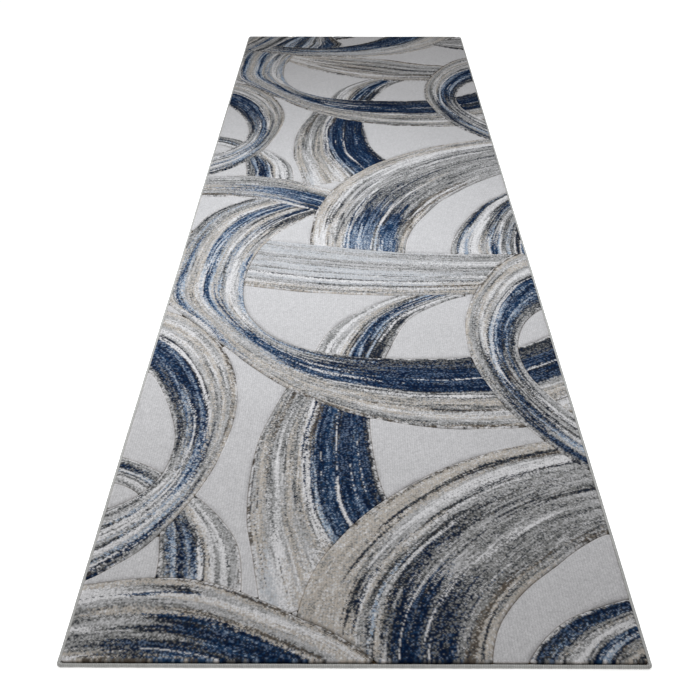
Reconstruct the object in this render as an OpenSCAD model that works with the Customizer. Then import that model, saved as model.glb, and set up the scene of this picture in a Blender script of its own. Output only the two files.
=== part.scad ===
// Runner rug: a machine-woven, cut-pile runner with sweeping brush-like motifs that are
// parted by carved grooves, on a woven base with a sized back and an overcast edge.
// The rug lies flat, width along X, length along Y, pile up. The origin is the middle
// of the underside.

/* [Rug] */
// Overall width, across the binding
rug_width = 800; // [600:10:1200]
// Overall length, across the binding
rug_length = 3000; // [2400:50:4000]
// Radius of each corner, to the middle of the binding
corner_radius = 4; // [4:1:40]

/* [Woven base] */
// Thickness of the dried size on the back
size_thickness = 0.5; // [0.3:0.1:1]
// Thickness of each of the two weft layers
weft_thickness = 1.1; // [0.8:0.1:1.6]
// Thickness of the stuffer warp between the wefts
stuffer_thickness = 0.6; // [0.4:0.1:1]

/* [Pile] */
// Height of the pile above the woven base
pile_height = 6.7; // [5:0.1:12]
// Width of the carved groove along the edge of a sweep
groove_width = 3; // [1:0.5:5]
// Gap between the pile and the binding
pile_edge_gap = 0.5; // [0.2:0.1:2]

/* [Binding] */
// Diameter of the overcast edge
binding_diameter = 6.6; // [6.4:0.2:7.6]
// Diameter of the cord inside the overcast edge
cord_diameter = 3; // [2.4:0.2:3.2]
// Clearance round the cord and the selvedge
binding_clearance = 0.1; // [0.05:0.05:0.3]

/* [Pattern] */
// Length after which the woven pattern comes round again
pattern_repeat = 1510; // [1400:10:1600]
// Straight pieces between two stations of a sweep
station_steps = 6; // [3:1:10]

/* [Hidden] */

$fn = 48;

// Heights of the layers, from the floor up
lower_weft_z = size_thickness;
stuffer_z = lower_weft_z + weft_thickness;
upper_weft_z = stuffer_z + stuffer_thickness;
pile_z = upper_weft_z + weft_thickness;

// The binding lies on the floor round the whole rug
binding_r = binding_diameter / 2;
cord_r = cord_diameter / 2;
half_width = rug_width / 2;
half_length = rug_length / 2;
straight_x = half_width - binding_r - corner_radius;
straight_y = half_length - binding_r - corner_radius;
base_inset = binding_diameter + binding_clearance;
pile_inset = binding_diameter + pile_edge_gap;

// The stuffer warp runs on into the binding, up to the cord, as the selvedge that the
// yarn is whipped round
selvedge_depth = binding_r - cord_r - 3 * binding_clearance;
selvedge_slot_z = stuffer_z - binding_r - binding_clearance;
selvedge_slot_height = stuffer_thickness + 2 * binding_clearance;
selvedge_slot_end = binding_clearance + selvedge_depth - binding_r;

// Each sweep is drawn as stations from one end to the other. A station is
// [outer x, outer y, inner x, inner y], counted from the near left corner of the design,
// which is drawn 800 wide and 3000 long and then fitted to the rug.
design_width = 800;
design_length = 3000;

left_fan = [
    [125, 360, 95, 345], [170, 315, 98, 290], [205, 265, 102, 250],
    [225, 215, 108, 205], [234, 150, 110, 160], [236, 90, 110, 110]
];
left_wisp = [[-20, 455, -20, 385], [40, 428, 25, 372], [85, 398, 60, 345], [120, 360, 95, 320]];
left_ring = [
    [-30, 950, -30, 755], [70, 895, 22, 690], [145, 780, 62, 600],
    [182, 640, 86, 520], [178, 500, 90, 455], [145, 360, 78, 390],
    [90, 245, 45, 340], [40, 185, 0, 308], [-20, 140, -40, 290]
];
column = [
    [285, 690, 425, 640], [255, 580, 426, 560], [237, 500, 428, 500], [229, 400, 438, 400],
    [233, 290, 455, 330], [250, 200, 490, 260], [272, 80, 540, 190]
];
near_right_sweep = [
    [325, -30, 582, -30], [320, 80, 597, 60], [352, 200, 640, 132], [430, 315, 700, 190],
    [540, 410, 750, 235], [660, 470, 790, 260], [830, 512, 850, 280]
];
near_left_sweep = [
    [-30, 135, -30, -40], [100, 160, 90, -30], [200, 147, 180, -40],
    [320, 85, 270, -60], [390, 42, 330, -90], [470, -40, 400, -130]
];
near_corner_sweep = [[620, -30, 760, -60], [660, 42, 780, -30], [720, 92, 800, 10], [830, 132, 850, 50]];
inner_arc = [
    [322, 760, 452, 740], [345, 845, 480, 830], [385, 910, 510, 905],
    [450, 975, 560, 960], [540, 1035, 640, 1010]
];
light_band = [
    [20, 1330, 20, 1110], [150, 1288, 140, 1062], [300, 1250, 300, 1025],
    [450, 1219, 450, 1012], [600, 1205, 600, 1014], [830, 1200, 830, 1040]
];
big_ring = [
    [850, 600, 850, 895], [720, 540, 720, 795], [600, 531, 600, 760], [480, 546, 480, 757],
    [370, 590, 380, 767], [270, 662, 295, 795], [170, 770, 225, 850], [70, 895, 175, 935],
    [0, 990, 157, 1030], [-8, 1130, 160, 1140], [5, 1290, 185, 1250], [60, 1445, 240, 1350],
    [200, 1545, 310, 1425], [340, 1560, 400, 1470]
];
right_ring = [
    [840, 1240, 850, 985], [745, 1178, 790, 950], [675, 1055, 752, 900], [636, 930, 730, 840],
    [627, 820, 722, 775], [640, 710, 732, 700], [680, 590, 760, 630], [735, 490, 795, 570],
    [810, 398, 850, 500]
];
middle_left_sweep = [
    [-40, 1642, -40, 1530], [100, 1662, 90, 1525], [200, 1642, 180, 1505],
    [300, 1593, 270, 1460], [370, 1545, 330, 1420], [450, 1480, 410, 1370]
];
middle_right_sweep = [
    [299, 1251, 515, 1211], [298, 1330, 530, 1310], [312, 1460, 556, 1380], [365, 1615, 612, 1490],
    [470, 1757, 690, 1590], [600, 1862, 760, 1655], [740, 1922, 830, 1705], [850, 1945, 900, 1740]
];
middle_corner_sweep = [
    [627, 1206, 830, 1204], [635, 1275, 830, 1250], [670, 1375, 840, 1330],
    [725, 1475, 850, 1400], [800, 1560, 880, 1480], [860, 1610, 920, 1520]
];
far_band = [
    [120, 2790, 150, 2720], [260, 2755, 210, 2640], [380, 2735, 300, 2562], [500, 2708, 420, 2500],
    [620, 2655, 560, 2468], [730, 2632, 680, 2478], [830, 2625, 800, 2500]
];
far_fan = [[95, 2780, 300, 2780], [112, 2880, 355, 2880], [150, 2950, 335, 2935], [200, 3020, 310, 3010]];
far_sweep = [
    [800, 3030, 530, 3030], [735, 2925, 490, 2960], [640, 2828, 435, 2905], [520, 2757, 365, 2865],
    [380, 2738, 280, 2845], [220, 2748, 190, 2850], [100, 2785, 90, 2880], [-30, 2844, -30, 2950]
];
far_left_sweep = [[-60, 2870, 60, 2800], [-25, 2950, 110, 2880], [5, 3030, 160, 2990]];
far_corner_sweep = [[690, 2885, 720, 2940], [750, 2845, 770, 2960], [840, 2805, 850, 2980]];

// Sweeps in the order in which they were laid over each other: a later one cuts an
// earlier one. Each row is [node, shift along the rug, stations, colour].
far_shift = pattern_repeat;
SWEEPS = [
    ["pile_left_fan_near", 0, left_fan, "slategray"],
    ["pile_left_wisp_near", 0, left_wisp, "dimgray"],
    ["pile_left_ring_near", 0, left_ring, "lightslategray"],
    ["pile_column_near", 0, column, "steelblue"],
    ["pile_near_right_sweep", 0, near_right_sweep, "gray"],
    ["pile_near_left_sweep", 0, near_left_sweep, "darkgray"],
    ["pile_near_corner_sweep", 0, near_corner_sweep, "slategray"],
    ["pile_inner_arc_near", 0, inner_arc, "steelblue"],
    ["pile_light_band", 0, light_band, "silver"],
    ["pile_big_ring_near", 0, big_ring, "lightsteelblue"],
    ["pile_right_ring_near", 0, right_ring, "lightslategray"],
    ["pile_left_fan_far", far_shift, left_fan, "slategray"],
    ["pile_left_wisp_far", far_shift, left_wisp, "dimgray"],
    ["pile_left_ring_far", far_shift, left_ring, "lightslategray"],
    ["pile_column_far", far_shift, column, "steelblue"],
    ["pile_middle_left_sweep", 0, middle_left_sweep, "lightslategray"],
    ["pile_middle_right_sweep", 0, middle_right_sweep, "gray"],
    ["pile_middle_corner_sweep", 0, middle_corner_sweep, "slategray"],
    ["pile_inner_arc_far", far_shift, inner_arc, "steelblue"],
    ["pile_far_band", 0, far_band, "tan"],
    ["pile_big_ring_far", far_shift, big_ring, "lightsteelblue"],
    ["pile_right_ring_far", far_shift, right_ring, "lightslategray"],
    ["pile_far_fan", 0, far_fan, "slategray"],
    ["pile_far_sweep", 0, far_sweep, "darkslateblue"],
    ["pile_far_left_sweep", 0, far_left_sweep, "darkgray"],
    ["pile_far_corner_sweep", 0, far_corner_sweep, "darkgray"]
];
last_sweep = len(SWEEPS) - 1;

// A point of the design on the rug
function on_rug(x, y) = [
    (x / design_width - 0.5) * rug_width,
    (y / design_length - 0.5) * rug_length
];

// A station fitted to the rug and moved along it
function fitted(station, shift) = concat(
    on_rug(station[0], station[1] + shift),
    on_rug(station[2], station[3] + shift)
);

// Point at t from b to c on the smooth curve through a, b, c and d
function curve_point(a, b, c, d, t) =
    (2 * b + (c - a) * t + (2 * a - 5 * b + 4 * c - d) * t ^ 2 + (3 * b - a - 3 * c + d) * t ^ 3) / 2;

// A list with one more point at each end, so that the end curves run on
function run_on(p) = let (n = len(p) - 1) concat(
    [3 * p[0] - 3 * p[1] + p[2]], p, [3 * p[n] - 3 * p[n - 1] + p[n - 2]]
);

// Stations filled in with a smooth curve
function smooth(p) = let (q = run_on(p)) concat(
    [for (i = [1 : len(q) - 3], k = [0 : station_steps - 1])
        curve_point(q[i - 1], q[i], q[i + 1], q[i + 2], k / station_steps)],
    [p[len(p) - 1]]
);

function unit(v) = v / norm(v);
function outer_point(s) = [s[0], s[1]];
function inner_point(s) = [s[2], s[3]];
function across(s) = unit(outer_point(s) - inner_point(s));

// Stations with one more at each end, further along by the distance grow
function longer(s, grow) = let (n = len(s) - 1) concat(
    grow > 0 ? [s[0] + grow * unit(s[0] - s[1])] : [],
    s,
    grow > 0 ? [s[n] + grow * unit(s[n] - s[n - 1])] : []
);

// Outline of a sweep, grown all round by the distance grow
function sweep_outline(sweep, grow = 0) =
    let (s = longer(smooth([for (station = sweep[2]) fitted(station, sweep[1])]), grow))
    concat(
        [for (q = s) outer_point(q) + grow * across(q)],
        [for (i = [len(s) - 1 : -1 : 0]) inner_point(s[i]) - grow * across(s[i])]
    );

// Flat shape of the rug, drawn in by inset, with rounded corners
module rug_shape(inset) {
    r = max(0.1, corner_radius + binding_r - inset);
    square([2 * (half_width - inset), 2 * (half_length - inset - r)], center = true);
    square([2 * (half_width - inset - r), 2 * (half_length - inset)], center = true);
    for (sx = [-1, 1], sy = [-1, 1])
        translate([sx * (half_width - inset - r), sy * (half_length - inset - r)])
            circle(r = r);
}

// One flat layer of the rug
module layer(z, thickness, inset) {
    translate([0, 0, z])
        linear_extrude(thickness)
            rug_shape(inset);
}

module back_size() {
    color("tan") layer(0, size_thickness, base_inset);
}

module lower_weft() {
    color("burlywood") layer(lower_weft_z, weft_thickness, base_inset);
}

module stuffer_warp() {
    color("wheat") layer(stuffer_z, stuffer_thickness, binding_diameter - selvedge_depth);
}

module upper_weft() {
    color("burlywood") layer(upper_weft_z, weft_thickness, base_inset);
}

// Section of the overcast yarn, the rug's field at -X: hollow for the cord, with a slot
// for the selvedge
module binding_section() {
    difference() {
        circle(r = binding_r);
        circle(r = cord_r + binding_clearance);
        translate([-binding_diameter, selvedge_slot_z])
            square([binding_diameter + selvedge_slot_end, selvedge_slot_height]);
    }
}

// A straight run of an edge section, centred on the rug's middle: along Y at +X
module long_run() {
    translate([half_width - binding_r, 0, binding_r])
        rotate([90, 0, 0])
            linear_extrude(2 * straight_y, center = true)
                children();
}

// The same along X at +Y
module short_run() {
    translate([0, half_length - binding_r, binding_r])
        rotate([90, 0, 90])
            linear_extrude(2 * straight_x, center = true)
                children();
}

// The four rounded corners of an edge section
module corner_runs() {
    for (sx = [0, 1], sy = [0, 1])
        mirror([sx, 0, 0])
            mirror([0, sy, 0])
                translate([straight_x, straight_y, binding_r])
                    rotate_extrude(angle = 90)
                        translate([corner_radius, 0])
                            children();
}

module edge_cord_left() {
    color("gainsboro") mirror([1, 0, 0]) long_run() circle(r = cord_r);
}

module edge_cord_right() {
    color("gainsboro") long_run() circle(r = cord_r);
}

module edge_cord_near() {
    color("gainsboro") mirror([0, 1, 0]) short_run() circle(r = cord_r);
}

module edge_cord_far() {
    color("gainsboro") short_run() circle(r = cord_r);
}

module edge_cord_corners() {
    color("gainsboro") corner_runs() circle(r = cord_r);
}

module binding_left() {
    color("darkgray") mirror([1, 0, 0]) long_run() binding_section();
}

module binding_right() {
    color("darkgray") long_run() binding_section();
}

module binding_near() {
    color("darkgray") mirror([0, 1, 0]) short_run() mirror([1, 0]) binding_section();
}

module binding_far() {
    color("darkgray") short_run() mirror([1, 0]) binding_section();
}

module binding_corners() {
    color("darkgray") corner_runs() binding_section();
}

// Flat shape of every sweep from first to the last, grown by the groove
module cut_by(first) {
    for (k = [first : 1 : last_sweep])
        polygon(sweep_outline(SWEEPS[k], groove_width));
}

module ground_pile() {
    color("whitesmoke")
        translate([0, 0, pile_z])
            linear_extrude(pile_height)
                difference() {
                    rug_shape(pile_inset);
                    cut_by(0);
                }
}

// Pile of one sweep, with the sweeps laid over it cut away
module sweep_pile(name) {
    k = search([name], SWEEPS)[0];
    color(SWEEPS[k][3])
        translate([0, 0, pile_z])
            linear_extrude(pile_height)
                difference() {
                    intersection() {
                        rug_shape(pile_inset);
                        polygon(sweep_outline(SWEEPS[k]));
                    }
                    cut_by(k + 1);
                }
}

back_size();
lower_weft();
stuffer_warp();
upper_weft();
edge_cord_left();
edge_cord_right();
edge_cord_near();
edge_cord_far();
edge_cord_corners();
binding_left();
binding_right();
binding_near();
binding_far();
binding_corners();
ground_pile();
for (sweep = SWEEPS)
    sweep_pile(sweep[0]);
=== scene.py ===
"""Looks of the runner rug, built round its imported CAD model.

Every length is in metres and in the CAD's own frame: width along X, length along Y, pile up.
Only the pattern is laid out in millimetres, from the near left corner of an 800 x 3000 design.
"""
import math
from collections import defaultdict

import bpy
import numpy as np
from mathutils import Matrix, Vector
from mathutils.geometry import tessellate_polygon


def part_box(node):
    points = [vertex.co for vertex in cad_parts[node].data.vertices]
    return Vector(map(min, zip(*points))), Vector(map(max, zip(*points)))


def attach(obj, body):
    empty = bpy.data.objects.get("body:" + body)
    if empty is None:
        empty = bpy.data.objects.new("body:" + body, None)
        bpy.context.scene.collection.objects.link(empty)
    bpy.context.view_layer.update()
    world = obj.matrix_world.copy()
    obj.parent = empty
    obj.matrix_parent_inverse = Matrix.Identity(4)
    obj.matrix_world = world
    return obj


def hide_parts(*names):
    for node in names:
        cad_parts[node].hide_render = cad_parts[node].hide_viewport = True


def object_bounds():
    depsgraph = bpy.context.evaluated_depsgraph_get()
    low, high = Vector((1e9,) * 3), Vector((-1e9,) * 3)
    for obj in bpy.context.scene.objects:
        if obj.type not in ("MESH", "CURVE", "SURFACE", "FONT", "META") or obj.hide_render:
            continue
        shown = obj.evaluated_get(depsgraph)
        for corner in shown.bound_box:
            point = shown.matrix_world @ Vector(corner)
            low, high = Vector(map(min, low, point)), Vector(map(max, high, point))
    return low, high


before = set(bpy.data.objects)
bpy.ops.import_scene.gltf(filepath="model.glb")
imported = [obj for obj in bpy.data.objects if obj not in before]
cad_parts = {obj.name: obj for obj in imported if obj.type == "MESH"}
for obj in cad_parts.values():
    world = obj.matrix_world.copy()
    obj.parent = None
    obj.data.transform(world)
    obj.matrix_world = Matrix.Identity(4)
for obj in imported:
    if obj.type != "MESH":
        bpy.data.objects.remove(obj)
cad_low, cad_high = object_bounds()

# ---- Sizes ------------------------------------------------------------------------------

MM = 0.001
BODY = "root"

# Pile
TUFT = 2.0 * MM           # pitch of the tufts, both ways
TUFT_DOME = 0.50 * MM     # how far a tuft's tip stands above the dip beside it
TUFT_JITTER = 0.28 * MM   # how unevenly the tufts are cut
COLUMN_DIP = 0.22 * MM    # how much deeper every second dip between the columns is
GROOVE_DEPTH = 2.3 * MM   # greatest depth of the carved groove
GROOVE_SHOULDER = 2.2 * MM  # width of its slope on top of a CAD pile block
GROUND_SHOULDER = 8.0 * MM  # width of the softer slope on the ground's side
GROOVE_LEAN = 1.46 * MM   # how far the pile leans over the CAD block's edge into the groove
EDGE_LEAN = 0.9 * MM      # how far the outermost pile leans out over the binding
EDGE_DROOP = 0.4          # how much of the groove's depth the outermost pile sinks
EDGE_DROP = 0.69 * MM     # how far the outermost pile's rim hangs down
EDGE_MARGIN = 0.25 * MM   # pile that near to the binding is the outermost
DIP_PAINTED_SHADES = (0.70, 0.80)  # painted shade: brightness of the dips before even and odd columns
RIM_PAINTED_SHADE = 0.92          # painted shade: brightness of the dips along an outline
GROOVE_PAINTED_SHADE = 0.3        # painted shade: how much darker the pile is at the bottom of a groove
FOOT_PAINTED_SHADE = 0.4          # painted shade: brightness of the yarns' feet, down at the woven base
YARN_SIDE_TINT_AND_SHADE = np.array([0.94, 0.90, 0.85])  # painted shade and a warm tint on the sides of the yarns
GRID_REACH = 5            # how many tufts from an outline the distance to it is worked out

# Overcast edge
WRAP_PITCH = 2.4 * MM     # from one turn of the yarn to the next
WRAP_RIDGE = 0.32 * MM    # how far a turn stands out
WRAP_UNEVEN = 0.15 * MM   # how much thinner some turns are
WRAP_LUMPS = 0.25 * MM    # how much thinner some stretches are
WRAP_STEPS = 4            # rings in one turn
EDGE_SIDES = 12           # sides of the winding and of the cord
EDGE_WOBBLE = 0.4 * MM    # how far the edge strays from a straight line
EDGE_FADE = 50 * MM       # over what length it comes back to the line before a corner
CORNER_STEPS = 32         # rings round a corner
BORE_STEP = 80            # rings of the winding for each ring of its plain bore
CORD_TWIST = 14 * MM      # from one turn of the cord's strands to the next
CORD_STRANDS = 3
CORD_STEP = 4             # rings of the winding for each ring of the cord

# Woven base
WEFT_PITCH = 3.0 * MM
WEFT_WIDTH = 2.8 * MM
WARP_PITCH = 5.0 * MM
STUFFER_PITCH = 2.6 * MM
STUFFER_WIDTH = 2.3 * MM
STRAND_SIDES = 6          # sides of a weft or warp yarn
STRAND_STEPS = 8          # lengths it is made of, each with its own sway
RIB_HEIGHT = 0.32 * MM    # how far a weft shows as a rib under the back
RIB_STEPS = 4             # rows of points on the back for each weft
BACK_COLUMNS = 10
RIB_WAVE = 0.4 * MM       # how far a rib strays from a straight line

SAME_POINT = 0.01 * MM    # points nearer than this are one
TINY = 1e-9               # keeps a division from being by zero

# ---- Pattern ----------------------------------------------------------------------------

DESIGN_WIDTH = 800
DESIGN_LENGTH = 3000
REPEAT = 1510

# How the bands of a sweep are brushed: lengths in millimetres, the rest in shares of 1
BAND_WANDER = 8        # how far a band wanders sideways
BAND_FRAY = 6          # how far its edge frays
ROW_RAGGED = 0.16      # how unevenly one row of bands gives way to the next
WHITE_STREAKS = 0.92   # level of noise over which a dry white streak shows
DARK_STREAKS = 0.91    # level of noise over which a charcoal streak shows
PALE_RIM = 5           # how wide the silver rim of a dark band is, at most
FAR_PAINTED_SHADE = 0.15      # painted shade: share of the tufts that the far repeat moves to a darker yarn of its blend
LAY_PAINTED_LIGHT = 0.08       # painted light: spread of brightness as the pile's lay turns its fibres to the light
TUFT_SHADE = 0.3       # spread of brightness from tuft to tuft

# The creel's yarns, as display colours from 0 to 255
YARNS = {
    "W": (208, 207, 209),  # white
    "S": (190, 189, 191),  # silver
    "A": (176, 179, 184),  # ash
    "L": (160, 160, 161),  # light grey
    "G": (118, 118, 117),  # grey
    "T": (175, 168, 160),  # taupe
    "D": (86, 79, 72),     # brown
    "C": (38, 43, 51),     # charcoal
    "N": (10, 25, 50),     # navy
    "B": (35, 60, 90),     # blue
    "K": (143, 159, 178),  # sky
    "H": (92, 106, 128),   # steel
}
YARN_LETTERS = list(YARNS)

# What each kind of band is tufted with: twelve tufts in equal shares, from the darkest to the lightest
BLENDS = {
    "W": "LSSWWWWWWWWW",
    "S": "GLSSSSSSSSWW",
    "A": "LAAAAAAAAASS",
    "L": "GGLLLLLLLLSS",
    "G": "CCGGGGGGLLLS",
    "T": "GLLTTTTTTTTW",
    "D": "CDDDDDDDDGGT",
    "C": "NCCCCCCCCDGG",
    "N": "NNNNNNCCBBHH",
    "B": "NNBBBBBBBHHK",
    "K": "HKKKKKKAAAWW",
    "H": "NBBBHHHHKKKA",
    "M": "NNNNNCCCHGGG",
}
BANDS = list(BLENDS)
DARK_BANDS = [BANDS.index(letter) for letter in "GDCNBHM"]  # bands that keep off a sweep's outline
TUFTED = np.array([[YARN_LETTERS.index(letter) for letter in blend] for blend in BLENDS.values()])

# The bands across a sweep, in rows. Each row has its place along the sweep, in percent, and its bands:
# the letter of each band's blend, with the percentage of the way from the outer edge to the inner one.
RING_ROWS = [
    "5: D0 T3 L10 W16 T22 L30 W36 L42 C45 W47.5 N49.5 B52 N56 N62 B70 N78 N88 C95 G100",
    "32: D0 T4 L10 G15 T20 W26 G30 T34 L40 C44 W46.5 W49 C51 N53 H58 N66 M72 H80 M90 G100",
    "50: T0 D6 L12 T20 L26 G33 T40 W46 C48 W50 N52 H57 M65 W70 H71 G84 C92 L100",
    "66: T0 L8 G14 L20 G26 N34 H40 B50 K55 H58 G66 W72 G78 L84 G92 W100",
    "80: L0 G6 N12 K20 K26 L29 W36 K42 L48 W54 G60 W65 K72 L78 W86 G93 C100",
    "95: N0 C8 W14 C20 L27 W34 C40 L46 W53 G58 W64 C70 W76 L84 G91 W100",
]

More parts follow.
